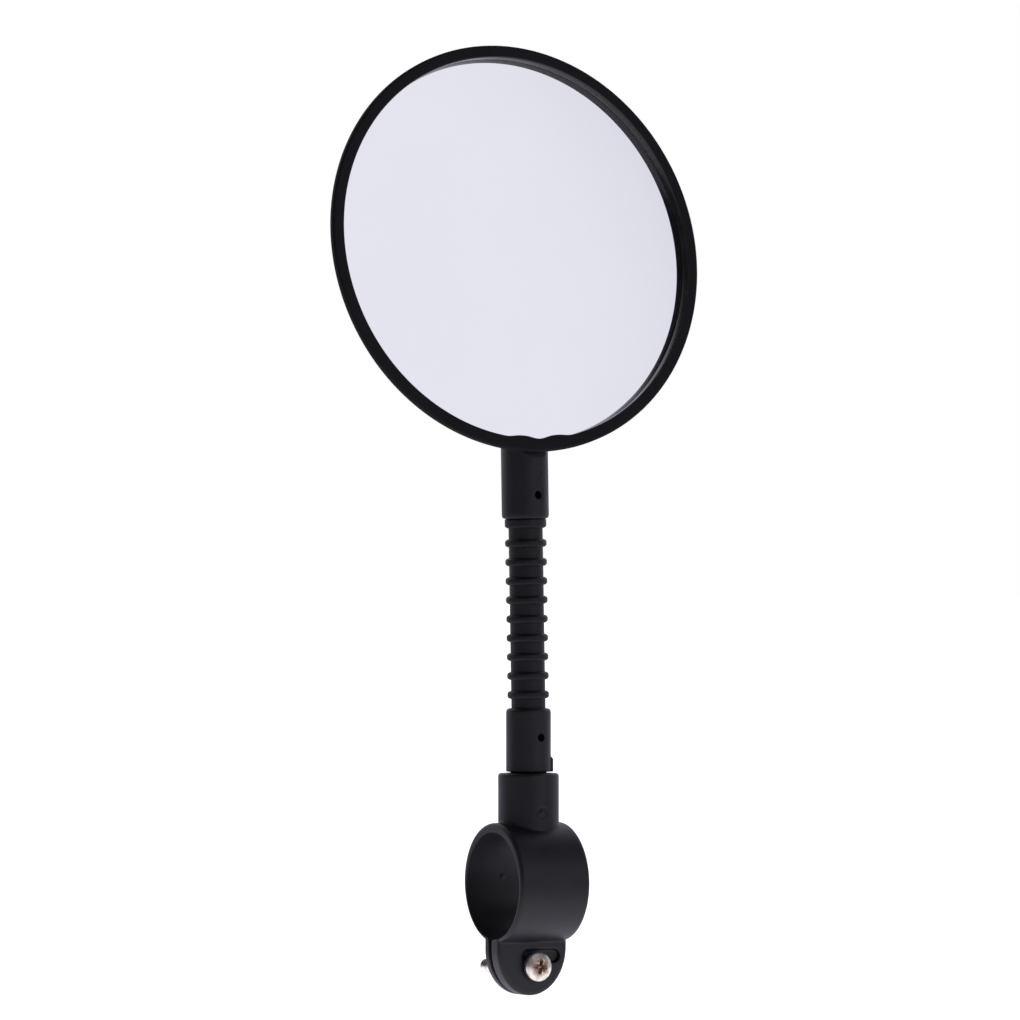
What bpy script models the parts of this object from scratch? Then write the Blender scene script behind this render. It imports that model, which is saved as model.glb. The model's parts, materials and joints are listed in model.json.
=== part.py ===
"""Bicycle handlebar mirror: bar clamp, swivelling flexible stem and round convex mirror head.

Metres, +Z up. The origin is the centre of the handlebar bore, X runs along the handlebar,
the mirror looks towards -Y and the stem rises along +Z.
"""

import math

import bmesh
import bpy
from mathutils import Matrix, Vector

# Clearance between pieces that touch on the real object.
GAP = 0.0003
MERGE = 0.000001

# Bar clamp: a ring on a 22.2 mm handlebar, two ears below it and a socket above it.
BORE_RADIUS = 0.0111
RING_RADIUS = 0.0125
RING_RISE = 0.0006
RING_WIDTH = 0.0164
RING_SHIFT = -0.0004
RING_EDGE = 0.0008
EAR_THICKNESS = 0.0062
EAR_SHIFT = 0.0005
EAR_BOTTOM = -0.0229
EAR_TOP = -0.0080
EAR_EDGE = 0.0007
EAR_ARC = 0.0097
EAR_LEAN = 0.0002
SLIT_SHIFT = 0.0011
SLIT_HIGH_WIDTH = 0.0017
SLIT_LOW_WIDTH = 0.0005
SOCKET_RADIUS = 0.00634
SOCKET_TOP = 0.02335
SOCKET_EDGE = 0.0005
SOCKET_FLOOR = 0.0156
SOCKET_HOLE_RADIUS = 0.0040
SCREW_RECESS_RADIUS = 0.0034
SCREW_RECESS_TOP = 0.0133
FRONT_FACE = EAR_THICKNESS / 2 - EAR_SHIFT
REAR_FACE = EAR_THICKNESS / 2 + EAR_SHIFT

# Oblong recess in the front ear, behind the upper half of the clamp screw's head.
OBLONG_X = 0.0016
OBLONG_Z = -0.0147
OBLONG_RADIUS = 0.0014
OBLONG_STRAIGHT = 0.0062
OBLONG_DEPTH = 0.0012

# M3 clamp screw with a pan head, and its hexagon nut. The screw sits slightly askew, head high.
CLAMP_SCREW_X = 0.0002
CLAMP_SCREW_Z = -0.0170
CLAMP_SCREW_TILT = math.radians(2.5)
M3_RADIUS = 0.0015
M3_HOLE_RADIUS = M3_RADIUS + GAP
CLAMP_SCREW_LENGTH = 0.0220
PAN_HEAD_RADIUS = 0.0031
PAN_HEAD_HEIGHT = 0.0019
NUT_FLATS = 0.0055
NUT_THICKNESS = 0.0024
NUT_POCKET_DEPTH = 0.0010
CROSS_WIDTH = 0.0007
CROSS_LENGTH = 0.0032
CROSS_DEPTH = 0.0012

# Swivel screw: passes from the bore through the socket's floor into the collar's stub.
SWIVEL_HEAD_RADIUS = 0.0030
SWIVEL_HEAD_BOTTOM = 0.0114
SWIVEL_HEAD_TOP = 0.0124
SWIVEL_SCREW_TOP = 0.0225
SWIVEL_WASHER_BOTTOM = 0.0127
SWIVEL_WASHER_TOP = 0.0130

# Stem collar: turns in the socket and holds the lower end of the flexible stem.
COLLAR_RADIUS = 0.00468
COLLAR_TOP = 0.0369
COLLAR_EDGE = 0.0008
STUB_RADIUS = SOCKET_HOLE_RADIUS - GAP
PIN_HOLE_RADIUS = 0.00083
PIN_HOLE_TURN = math.radians(6.0)
PIN_LENGTH = 0.0008
COLLAR_PIN_Z = 0.0309
RIDGE_TURN = math.radians(60.0)
RIDGE_HEIGHT = 0.0031
RIDGE_RADIUS = 0.0008
RIDGE_PROUD = 0.0005

# Flexible stem: a ribbed rubber sleeve over one bendable wire, divided at its bending points.
STEM_LEAN = math.radians(-1.06)
RIB_COUNT = 10
RIB_PITCH = 0.00395
FIRST_RIB = 0.0028
RIB_RADIUS = 0.00434
RIB_HEIGHT = 0.0017
SLEEVE_RADIUS = 0.00357
SLEEVE_END_DEPTH = 0.0026
SLEEVE_CUT = 0.0012
WIRE_RADIUS = 0.0016
WIRE_HOLE_RADIUS = WIRE_RADIUS + GAP
WIRE_CUT = 0.0006
WIRE_END_DEPTH = 0.0102

# Neck: the lower end of the back shell. Heights here are above the collar's top.
NECK_BOTTOM = 0.03950
NECK_RADIUS = 0.00493
NECK_EDGE = 0.0004
NECK_TOP = 0.0640
NECK_DOME_SWEEP = math.radians(70.0)
NECK_PIN_HEIGHT = 0.0445

# Mirror head, turned about its own axis. Depths run back from the bezel's front plane.
HEAD_HEIGHT = 0.0962
HEAD_BACK = 0.0018
HEAD_SHIFT = 0.0003
HEAD_TILT = math.radians(11.3)
HEAD_RADIUS = 0.0434
WINDOW_RADIUS = 0.0408
BEZEL_SIDE = 0.00145
BEZEL_DEPTH = 0.0023
BEZEL_EDGE = 0.0004
SHELL_RADIUS = 0.0425
SHELL_DEPTH = 0.0098
SHELL_WALL = 0.0016
LENS_RADIUS = 0.0411
LENS_THICKNESS = 0.0012
LENS_RECESS = 0.0022
LENS_CURVE = 0.600
SEAT_DEPTH = 0.0037
SEAT_RADIUS = 0.0400
FOAM_INNER = 0.0160
FOAM_OUTER = 0.0220
FOAM_THICKNESS = 0.0010
NOTCH_RADIUS = 0.0012
NOTCH_DEPTH = 0.0005
BUMP_RADIUS = 0.0011
BUMP_PROUD = 0.0004
BUMP_ANGLE = math.radians(7.4)

# Fineness of round shapes.
ROUND = 56
SMALL_ROUND = 24
CORNER_STEPS = 3
SHELL_RINGS = 10
CAVITY_RINGS = 7
LENS_RINGS = 5
RIB_DEGREES = (90, 45, 0, -45, -90)
SHARP_ANGLE = math.radians(35.0)

Z_AXIS = Matrix.Identity(4)
ALONG_X = Matrix.Rotation(math.radians(90.0), 4, "Y")
ALONG_Y = Matrix.Rotation(math.radians(90.0), 4, "X")
ACROSS_X = Matrix(((0, 0, 1, 0), (1, 0, 0, 0), (0, 1, 0, 0), (0, 0, 0, 1)))
SCREW_TURN = Matrix.Rotation(math.radians(90.0) - CLAMP_SCREW_TILT, 4, "X")
SCREW_PLACE = Matrix.Translation((CLAMP_SCREW_X, 0.0, CLAMP_SCREW_Z)) @ SCREW_TURN


def clear_scene():
    for old in list(bpy.data.objects):
        bpy.data.objects.remove(old, do_unlink=True)


def new_collection(name):
    collection = bpy.data.collections.new(name)
    bpy.context.scene.collection.children.link(collection)
    return collection


def new_material(name, colour, roughness, metallic=0.0):
    material = bpy.data.materials.new(name)
    material.use_nodes = True
    shader = material.node_tree.nodes["Principled BSDF"]
    shader.inputs["Base Color"].default_value = (*colour, 1.0)
    shader.inputs["Roughness"].default_value = roughness
    shader.inputs["Metallic"].default_value = metallic
    return material


def new_empty(name, location, parent=None, rotation=Z_AXIS):
    """An empty on a joint's axis, which the pieces that move with that joint are parented to."""
    empty = bpy.data.objects.new(name, None)
    empty.empty_display_size = 0.005
    PARTS.objects.link(empty)
    empty.parent = parent
    empty.matrix_local = Matrix.Translation(location) @ rotation
    return empty


def new_object(name, mesh, material=None, parent=None, matrix=Z_AXIS):
    """A sub-part when it has a material, otherwise a cutter."""
    piece = bpy.data.objects.new(name, mesh)
    if material:
        mesh.materials.append(material)
        PARTS.objects.link(piece)
    else:
        CUTTERS.objects.link(piece)
        piece.hide_render = True
        piece.display_type = "WIRE"
    piece.parent = parent
    piece.matrix_local = matrix
    return piece


def corner(centre_r, centre_z, radius, start, stop):
    """Points of a rounded corner in a profile, by its centre, radius and angles in degrees."""
    points = []
    for step in range(CORNER_STEPS + 1):
        angle = math.radians(start + (stop - start) * step / CORNER_STEPS)
        points.append((centre_r + radius * math.cos(angle), centre_z + radius * math.sin(angle)))
    return points


def turned(name, profile, material=None, parent=None, matrix=Z_AXIS, steps=ROUND):
    """A profile of (radius, height) points turned about Z, running down the outer side.

    It starts and ends on the axis, or is a closed section clear of it."""
    count = len(profile)
    closed = profile[0][0] > 0.0
    mesh = bpy.data.meshes.new(name)
    edges = [(i, (i + 1) % count) for i in range(count if closed else count - 1)]
    mesh.from_pydata([(radius, 0.0, height) for radius, height in profile], edges, [])
    piece = new_object(name, mesh, material, parent, matrix)
    screw = piece.modifiers.new("turn", "SCREW")
    screw.steps = steps
    screw.render_steps = steps
    screw.use_merge_vertices = True
    screw.merge_threshold = MERGE
    return piece


def cylinder(name, radius, low, high, parent=None, matrix=Z_AXIS, steps=SMALL_ROUND):
    """A plain round cutter from one height to another."""
    profile = [(0.0, high), (radius, high), (radius, low), (0.0, low)]
    return turned(name, profile, None, parent, matrix, steps)


def block(name, size, centre, parent=None, rotation=Z_AXIS):
    """A rectangular cutter."""
    mesh = bpy.data.meshes.new(name)
    shape = bmesh.new()
    bmesh.ops.create_cube(shape, size=1.0)
    bmesh.ops.scale(shape, vec=Vector(size), verts=shape.verts)
    shape.to_mesh(mesh)
    shape.free()
    return new_object(name, mesh, None, parent, rotation @ Matrix.Translation(centre))


def prism(name, sides, flats, low, high, material=None, matrix=Z_AXIS):
    """A regular prism by its width across flats."""
    mesh = bpy.data.meshes.new(name)
    shape = bmesh.new()
    radius = flats / 2 / math.cos(math.pi / sides)
    bmesh.ops.create_cone(
        shape, cap_ends=True, segments=sides, radius1=radius, radius2=radius, depth=high - low
    )
    bmesh.ops.translate(shape, vec=(0.0, 0.0, (low + high) / 2), verts=shape.verts)
    shape.to_mesh(mesh)
    shape.free()
    return new_object(name, mesh, material, None, matrix)


def combine(piece, operation, others):
    for other in others:
        boolean = piece.modifiers.new(other.name, "BOOLEAN")
        boolean.operation = operation
        boolean.object = other


def radial(turn, height):
    """Turns Z to point outwards from the stem at a height, by an angle from -Y towards +X."""
    return Matrix.Translation((0.0, 0.0, height)) @ Matrix.Rotation(turn, 4, "Z") @ ALONG_Y


# ---------------------------------------------------------------- clamp


def ring_blank():
    """The ring before boring: a short cylinder along the handlebar with rounded ends."""
    half = RING_WIDTH / 2
    inner = RING_RADIUS - RING_EDGE
    profile = [(0.0, half)]
    profile += corner(inner, half - RING_EDGE, RING_EDGE, 90, 0)
    profile += corner(inner, RING_EDGE - half, RING_EDGE, 0, -90)
    profile += [(0.0, -half)]
    place = Matrix.Translation((RING_SHIFT, 0.0, RING_RISE))
    return profile, place @ ALONG_X


def socket_blank():
    low = BORE_RADIUS - RING_EDGE
    profile = [(0.0, SOCKET_TOP)]
    profile += corner(SOCKET_RADIUS - SOCKET_EDGE, SOCKET_TOP - SOCKET_EDGE, SOCKET_EDGE, 90, 0)
    profile += [(SOCKET_RADIUS, low), (0.0, low)]
    return turned("socket_blank", profile, steps=ROUND)


def socket_cut():
    """The socket's blind hole above, the swivel screw's recess below and its hole between them."""
    profile = [
        (0.0, 2 * SOCKET_TOP),
        (SOCKET_HOLE_RADIUS, 2 * SOCKET_TOP),
        (SOCKET_HOLE_RADIUS, SOCKET_FLOOR),
        (M3_HOLE_RADIUS, SOCKET_FLOOR),
        (M3_HOLE_RADIUS, SCREW_RECESS_TOP),
        (SCREW_RECESS_RADIUS, SCREW_RECESS_TOP),
        (SCREW_RECESS_RADIUS, BORE_RADIUS / 2),
        (0.0, BORE_RADIUS / 2),
    ]
    return turned("socket_cut", profile, steps=SMALL_ROUND)


def stadium(straight, radius):
    """Outline of a slot with round ends, its long side along X."""
    steps = SMALL_ROUND // 2
    outline = []
    for side in (1, -1):
        for step in range(steps + 1):
            angle = side * math.radians(90.0) - math.pi * step / steps
            outline.append((side * straight / 2 + radius * math.cos(angle), radius * math.sin(angle)))
    return outline


def ear_outline():
    """A plate's outline with a square top, hidden in the ring, and a half-oval lower end."""
    half = RING_WIDTH / 2
    steps = ROUND // 2
    outline = [(half, EAR_TOP), (-half, EAR_TOP)]
    for step in range(steps + 1):
        angle = math.pi + math.pi * step / steps
        x = half * math.cos(angle) + EAR_LEAN * math.sin(angle)
        outline.append((x, EAR_BOTTOM + EAR_ARC + EAR_ARC * math.sin(angle)))
    return outline


def slit_outline():
    """The slit between the ears, seen along the bore: it closes towards its foot."""
    high, low = SLIT_HIGH_WIDTH / 2, SLIT_LOW_WIDTH / 2
    top, foot = -BORE_RADIUS / 2, -2 * RING_RADIUS
    return [
        (SLIT_SHIFT + high, top),
        (SLIT_SHIFT - high, top),
        (SLIT_SHIFT - low, foot),
        (SLIT_SHIFT + low, foot),
    ]


def plate(name, outline, thickness, edge, matrix):
    """A flat plate from its outline, centred on its own XY plane, with rounded outer edges."""
    curve = bpy.data.curves.new(name, "CURVE")
    curve.dimensions = "2D"
    curve.fill_mode = "BOTH"
    curve.extrude = thickness / 2 - edge
    curve.bevel_depth = edge
    curve.bevel_resolution = 2
    curve.offset = -edge
    spline = curve.splines.new("POLY")
    spline.points.add(len(outline) - 1)
    for point, (x, y) in zip(spline.points, outline):
        point.co = (x, y, 0.0, 1.0)
    spline.use_cyclic_u = True
    return mesh_from_curve(name, curve, matrix)


def mesh_from_curve(name, curve, matrix):
    """Makes a mesh cutter of a curve, with its caps welded to its sides."""
    source = bpy.data.objects.new(name, curve)
    CUTTERS.objects.link(source)
    bpy.context.view_layer.update()
    graph = bpy.context.evaluated_depsgraph_get()
    mesh = bpy.data.meshes.new_from_object(source.evaluated_get(graph))
    bpy.data.objects.remove(source, do_unlink=True)
    shape = bmesh.new()
    shape.from_mesh(mesh)
    bmesh.ops.remove_doubles(shape, verts=shape.verts, dist=MERGE)
    shape.to_mesh(mesh)
    shape.free()
    return new_object(name, mesh, None, None, matrix)


def make_clamp_body():
    """Ring, socket and ears in one moulding, bored, slit and drilled."""
    profile, matrix = ring_blank()
    clamp = turned("clamp_body", profile, PLASTIC, None, matrix)
    ear_place = Matrix.Translation((RING_SHIFT, EAR_SHIFT, 0.0)) @ ALONG_Y
    ears = plate("ear_blank", ear_outline(), EAR_THICKNESS, EAR_EDGE, ear_place)
    combine(clamp, "UNION", [socket_blank(), ears])
    beyond = 2 * RING_RADIUS
    pocket_low = -REAR_FACE - NUT_POCKET_DEPTH
    pocket_high = -REAR_FACE + NUT_POCKET_DEPTH
    oblong_place = Matrix.Translation((OBLONG_X, -FRONT_FACE, OBLONG_Z)) @ ALONG_Y
    oblong = stadium(OBLONG_STRAIGHT, OBLONG_RADIUS)
    cuts = [
        cylinder("bore_cut", BORE_RADIUS, -beyond, beyond, None, ALONG_X, ROUND),
        plate("slit_cut", slit_outline(), beyond, 0.0, ACROSS_X),
        cylinder("screw_cut", M3_HOLE_RADIUS, -beyond, beyond, None, SCREW_PLACE),
        plate("oblong_cut", oblong, 2 * OBLONG_DEPTH, 0.0, oblong_place),
        prism("nut_pocket_cut", 6, NUT_FLATS + 2 * GAP, pocket_low, pocket_high, None, SCREW_PLACE),
        socket_cut(),
    ]
    combine(clamp, "DIFFERENCE", cuts)


def make_clamp_screw():
    """Pan-head screw along Y, with its head on the front ear's face and a cross recess in it."""
    seat = FRONT_FACE + GAP + PAN_HEAD_RADIUS * math.sin(CLAMP_SCREW_TILT)
    tip = seat - CLAMP_SCREW_LENGTH
    top = seat + PAN_HEAD_HEIGHT
    dome_radius = PAN_HEAD_HEIGHT / 2
    profile = [(0.0, top)]
    profile += corner(PAN_HEAD_RADIUS - dome_radius, top - dome_radius, dome_radius, 90, 0)
    profile += [
        (PAN_HEAD_RADIUS, seat),
        (M3_RADIUS, seat),
        (M3_RADIUS, tip + GAP),
        (M3_RADIUS - GAP, tip),
        (0.0, tip),
    ]
    axle = new_empty("clamp_screw_axis", SCREW_PLACE.translation, None, SCREW_TURN)
    screw = turned("clamp_screw", profile, ZINC, axle, steps=SMALL_ROUND)
    size = (CROSS_LENGTH, CROSS_WIDTH, 2 * CROSS_DEPTH)
    turns = [Matrix.Rotation(math.radians(degrees), 4, "Z") for degrees in (0.0, 90.0)]
    slots = [block("cross_cut", size, (0.0, 0.0, top), axle, turn) for turn in turns]
    combine(screw, "DIFFERENCE", slots)


def make_clamp_nut():
    inside = REAR_FACE - NUT_POCKET_DEPTH + GAP
    nut = prism("clamp_nut", 6, NUT_FLATS, -inside - NUT_THICKNESS, -inside, ZINC, SCREW_PLACE)
    bore = cylinder("nut_bore_cut", M3_HOLE_RADIUS, -RING_RADIUS, RING_RADIUS, None, SCREW_PLACE)
    combine(nut, "DIFFERENCE", [bore])


# ---------------------------------------------------------------- swivel


def make_swivel_screw(axis):
    profile = [
        (0.0, SWIVEL_SCREW_TOP),
        (M3_RADIUS - GAP, SWIVEL_SCREW_TOP),
        (M3_RADIUS, SWIVEL_SCREW_TOP - GAP),
        (M3_RADIUS, SWIVEL_HEAD_TOP),
        (SWIVEL_HEAD_RADIUS, SWIVEL_HEAD_TOP),
        (SWIVEL_HEAD_RADIUS, SWIVEL_HEAD_BOTTOM),
        (0.0, SWIVEL_HEAD_BOTTOM),
    ]
    turned("swivel_screw", profile, ZINC, axis, steps=SMALL_ROUND)


def make_swivel_washer(axis):
    profile = [
        (M3_HOLE_RADIUS, SWIVEL_WASHER_TOP),
        (SWIVEL_HEAD_RADIUS, SWIVEL_WASHER_TOP),
        (SWIVEL_HEAD_RADIUS, SWIVEL_WASHER_BOTTOM),
        (M3_HOLE_RADIUS, SWIVEL_WASHER_BOTTOM),
    ]
    turned("swivel_washer", profile, ZINC, axis, steps=SMALL_ROUND)


def make_pin(name, parent, matrix):
    """Set pin pressed in against the wire, deep in its hole."""
    radius = PIN_HOLE_RADIUS - GAP
    near = WIRE_HOLE_RADIUS
    far = near + PIN_LENGTH
    profile = [(0.0, far), (radius, far), (radius, near), (0.0, near)]
    turned(name, profile, STEEL, parent, matrix, steps=SMALL_ROUND)


def make_stem_collar(axis):
    bottom = SOCKET_TOP + GAP
    floor = SOCKET_FLOOR + GAP
    profile = [(0.0, COLLAR_TOP)]
    profile += corner(COLLAR_RADIUS - COLLAR_EDGE, COLLAR_TOP - COLLAR_EDGE, COLLAR_EDGE, 90, 0)
    profile += [
        (COLLAR_RADIUS, bottom),
        (STUB_RADIUS, bottom),
        (STUB_RADIUS, floor),
        (0.0, floor),
    ]
    collar = turned("stem_collar", profile, PLASTIC, axis)
    outwards = Matrix.Translation((0.0, RIDGE_RADIUS - COLLAR_RADIUS - RIDGE_PROUD, 0.0))
    ridge_place = Matrix.Rotation(RIDGE_TURN, 4, "Z") @ outwards
    ridge_top = bottom + RIDGE_HEIGHT
    ridge = cylinder("ridge_blank", RIDGE_RADIUS, bottom, ridge_top, axis, ridge_place, SMALL_ROUND // 2)
    combine(collar, "UNION", [ridge])
    pin_place = radial(PIN_HOLE_TURN, COLLAR_PIN_Z)
    beyond = 2 * COLLAR_TOP
    cuts = [
        cylinder("stub_cut", M3_HOLE_RADIUS, 0.0, SWIVEL_SCREW_TOP + GAP, axis),
        cylinder("sleeve_end_cut", SLEEVE_RADIUS + GAP, COLLAR_TOP - SLEEVE_END_DEPTH, beyond, axis),
        cylinder("wire_end_cut", WIRE_HOLE_RADIUS, COLLAR_TOP - WIRE_END_DEPTH, beyond, axis),
        cylinder("collar_pin_cut", PIN_HOLE_RADIUS, 0.0, 2 * COLLAR_RADIUS, axis, pin_place),
    ]
    combine(collar, "DIFFERENCE", cuts)
    make_pin("collar_pin", axis, pin_place)


# ---------------------------------------------------------------- flexible stem


def rib_profile(low, rib, high):
    """Outline of one sleeve length round a half-round rib, from its top edge down."""
    half = RIB_HEIGHT / 2
    proud = RIB_RADIUS - SLEEVE_RADIUS
    points = [(WIRE_HOLE_RADIUS, high), (SLEEVE_RADIUS, high)]
    for degrees in RIB_DEGREES:
        angle = math.radians(degrees)
        points.append((SLEEVE_RADIUS + proud * math.cos(angle), rib + half * math.sin(angle)))
    points += [(SLEEVE_RADIUS, low), (WIRE_HOLE_RADIUS, low)]
    return points


def make_stem_length(number, axis, rib, low, high):
    """One length of sleeve and wire. Heights are above the joint that it hangs on."""
    first = number == 1
    last = number == RIB_COUNT
    sleeve_low = low - SLEEVE_END_DEPTH + GAP if first else low + SLEEVE_CUT / 2
    sleeve_high = high + SLEEVE_END_DEPTH - GAP if last else high - SLEEVE_CUT / 2
    turned(
        f"sleeve_segment_{number:02d}",
        rib_profile(sleeve_low, rib, sleeve_high),
        RUBBER,
        axis,
        steps=SMALL_ROUND,
    )
    wire_low = low - WIRE_END_DEPTH + GAP if first else low + WIRE_CUT / 2
    wire_high = high + WIRE_END_DEPTH - GAP if last else high - WIRE_CUT / 2
    profile = [(0.0, wire_high), (WIRE_RADIUS, wire_high), (WIRE_RADIUS, wire_low), (0.0, wire_low)]
    turned(f"core_wire_{number:02d}", profile, STEEL, axis, steps=SMALL_ROUND // 2)


def make_stem(swivel_axis):
    """The chain of stem lengths. Returns the last joint's empty and its height above the collar."""
    lean = Matrix.Rotation(STEM_LEAN, 4, "Y")
    stem = new_empty("stem_base", (0.0, 0.0, COLLAR_TOP), swivel_axis, lean)
    first_joint = FIRST_RIB + RIB_PITCH / 2
    make_stem_length(1, stem, FIRST_RIB, 0.0, first_joint)
    joint = new_empty("bend_axis_01", (0.0, 0.0, first_joint), stem)
    for number in range(2, RIB_COUNT):
        make_stem_length(number, joint, RIB_PITCH / 2, 0.0, RIB_PITCH)
        joint = new_empty(f"bend_axis_{number:02d}", (0.0, 0.0, RIB_PITCH), joint)
    last_joint = first_joint + (RIB_COUNT - 2) * RIB_PITCH
    make_stem_length(RIB_COUNT, joint, RIB_PITCH / 2, 0.0, NECK_BOTTOM - last_joint)
    return joint, last_joint


# ---------------------------------------------------------------- head


def lens_front(radius):
    """Height of the lens's front over the bezel's front plane."""
    return -LENS_RECESS + (LENS_RADIUS**2 - radius**2) / (2 * LENS_CURVE)


def dome(radius, depth, rings, front):
    """Quarter ellipse from the rim at a front height down to the axis, as profile points."""
    points = []
    for ring in range(rings + 1):
        angle = math.radians(90.0) * ring / rings
        points.append((radius * math.cos(angle), front - (depth + front) * math.sin(angle)))
    points[-1] = (0.0, -depth)
    return points


def neck_blank(joint, bottom):
    """Round neck with a small edge below and a domed end, rising behind the bezel."""
    top = bottom + NECK_TOP - NECK_BOTTOM
    profile = []
    for step in range(CORNER_STEPS + 1):
        angle = NECK_DOME_SWEEP * step / CORNER_STEPS
        profile.append((NECK_RADIUS * math.sin(angle), top + NECK_RADIUS * (math.cos(angle) - 1.0)))
    profile += [
        (NECK_RADIUS, top - NECK_RADIUS),
        (NECK_RADIUS, bottom + NECK_EDGE),
        (NECK_RADIUS - NECK_EDGE, bottom),
        (0.0, bottom),
    ]
    return turned("neck_blank", profile, None, joint)


def shell_cavity(head):
    """The room behind the window: lens seat, hollow and the bezel's place in front."""
    front = 2 * HEAD_RADIUS - SHELL_RADIUS
    lip = -BEZEL_DEPTH - GAP
    inner = dome(SEAT_RADIUS - SHELL_WALL, SHELL_DEPTH - SHELL_WALL, CAVITY_RINGS, -SEAT_DEPTH)
    profile = [
        (0.0, NECK_RADIUS),
        (front, NECK_RADIUS),
        (front, lip),
        (LENS_RADIUS + GAP, lip),
        (LENS_RADIUS + GAP, -SEAT_DEPTH),
    ]
    return turned("shell_cavity", profile + inner, None, head)


def make_back_shell(head, joint, neck_bottom):
    front = -BEZEL_DEPTH - GAP
    profile = [(0.0, front)] + dome(SHELL_RADIUS, SHELL_DEPTH, SHELL_RINGS, front)
    shell = turned("back_shell", profile, PLASTIC, head)
    combine(shell, "UNION", [neck_blank(joint, neck_bottom)])
    combine(shell, "DIFFERENCE", [shell_cavity(head)])
    seat_top = lens_front(FOAM_OUTER) - LENS_THICKNESS - FOAM_THICKNESS - 2 * GAP
    seat_foot = GAP - SHELL_DEPTH + SHELL_WALL / 2
    seat_profile = [
        (FOAM_OUTER, seat_top),
        (FOAM_OUTER, seat_foot),
        (FOAM_INNER, seat_foot),
        (FOAM_INNER, seat_top),
    ]
    combine(shell, "UNION", [turned("foam_seat_blank", seat_profile, None, head)])
    pin_place = radial(PIN_HOLE_TURN, neck_bottom + NECK_PIN_HEIGHT - NECK_BOTTOM)
    sleeve_end = neck_bottom + SLEEVE_END_DEPTH
    wire_end = neck_bottom + WIRE_END_DEPTH
    cuts = [
        cylinder("neck_sleeve_cut", SLEEVE_RADIUS + GAP, -NECK_RADIUS, sleeve_end, joint),
        cylinder("neck_wire_cut", WIRE_HOLE_RADIUS, -NECK_RADIUS, wire_end, joint),
        cylinder("neck_pin_cut", PIN_HOLE_RADIUS, 0.0, 2 * NECK_RADIUS, joint, pin_place),
    ]
    combine(shell, "DIFFERENCE", cuts)
    make_pin("neck_pin", joint, pin_place)


def make_bezel_ring(head):
    """Front ring over the lens's edge, with a pry notch between two bumps at its foot."""
    profile = corner(WINDOW_RADIUS + BEZEL_EDGE, -BEZEL_EDGE, BEZEL_EDGE, 180, 90)
    profile += corner(HEAD_RADIUS - BEZEL_EDGE, -BEZEL_EDGE, BEZEL_EDGE, 90, 0)
    profile += [
        (HEAD_RADIUS, -BEZEL_SIDE),
        (SHELL_RADIUS, -BEZEL_DEPTH),
        (LENS_RADIUS + GAP, -BEZEL_DEPTH),
        (WINDOW_RADIUS, -LENS_RECESS + GAP),
    ]
    bezel = turned("bezel_ring", profile, PLASTIC, head)
    low, high = GAP - LENS_RECESS, -BEZEL_EDGE
    reach = Matrix.Translation((0.0, BUMP_PROUD - WINDOW_RADIUS - BUMP_RADIUS, 0.0))
    bumps = []
    for turn in (BUMP_ANGLE, -BUMP_ANGLE):
        place = Matrix.Rotation(turn, 4, "Z") @ reach
        bumps.append(cylinder("bump_blank", BUMP_RADIUS, low, high, head, place, SMALL_ROUND // 2))
    combine(bezel, "UNION", bumps)
    notch_place = Matrix.Translation((0.0, -WINDOW_RADIUS - NOTCH_DEPTH + NOTCH_RADIUS, 0.0))
    notch = cylinder("notch_cut", NOTCH_RADIUS, -HEAD_RADIUS, HEAD_RADIUS, head, notch_place)
    combine(bezel, "DIFFERENCE", [notch])


def make_mirror_lens(head):
    radii = [LENS_RADIUS * ring / LENS_RINGS for ring in range(LENS_RINGS + 1)]
    profile = [(radius, lens_front(radius)) for radius in radii]
    profile += [(radius, lens_front(radius) - LENS_THICKNESS) for radius in reversed(radii)]
    turned("mirror_lens", profile, MIRROR, head)


def make_foam_ring(head):
    top_inner = lens_front(FOAM_INNER) - LENS_THICKNESS - GAP
    top_outer = lens_front(FOAM_OUTER) - LENS_THICKNESS - GAP
    profile = [
        (FOAM_OUTER, top_outer),
        (FOAM_OUTER, top_outer - FOAM_THICKNESS),
        (FOAM_INNER, top_outer - FOAM_THICKNESS),
        (FOAM_INNER, top_inner),
    ]
    turned("foam_ring", profile, FOAM, head, steps=ROUND // 2)


def make_head(joint, joint_height):
    place = Vector((HEAD_SHIFT, HEAD_BACK, HEAD_HEIGHT - joint_height))
    facing = Matrix.Rotation(math.radians(90.0) - HEAD_TILT, 4, "X")
    head = new_empty("head_axis", place, joint, facing)
    make_back_shell(head, joint, NECK_BOTTOM - joint_height)
    make_bezel_ring(head)
    make_mirror_lens(head)
    make_foam_ring(head)


def settle_meshes():
    """Turns each sub-part's modifiers into its mesh and shades its round faces smooth."""
    bpy.context.view_layer.update()
    graph = bpy.context.evaluated_depsgraph_get()
    settled = {}
    for piece in PARTS.objects:
        if piece.type == "MESH":
            settled[piece] = bpy.data.meshes.new_from_object(piece.evaluated_get(graph))
    for piece, mesh in settled.items():
        piece.modifiers.clear()
        piece.data = mesh
        mesh.name = piece.name
        mesh.shade_smooth()
        mesh.set_sharp_from_angle(angle=SHARP_ANGLE)


clear_scene()
PARTS = new_collection("handlebar_mirror")
CUTTERS = new_collection("cutters")
PLASTIC = new_material("black_plastic", (0.018, 0.017, 0.021), 0.45)
RUBBER = new_material("black_rubber", (0.014, 0.013, 0.016), 0.60)
ZINC = new_material("zinc_plate", (0.62, 0.58, 0.52), 0.30, 1.0)
STEEL = new_material("steel", (0.45, 0.45, 0.46), 0.35, 1.0)
MIRROR = new_material("mirror_silver", (0.88, 0.88, 0.93), 0.03, 1.0)
FOAM = new_material("grey_foam", (0.20, 0.20, 0.21), 0.90)

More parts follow.
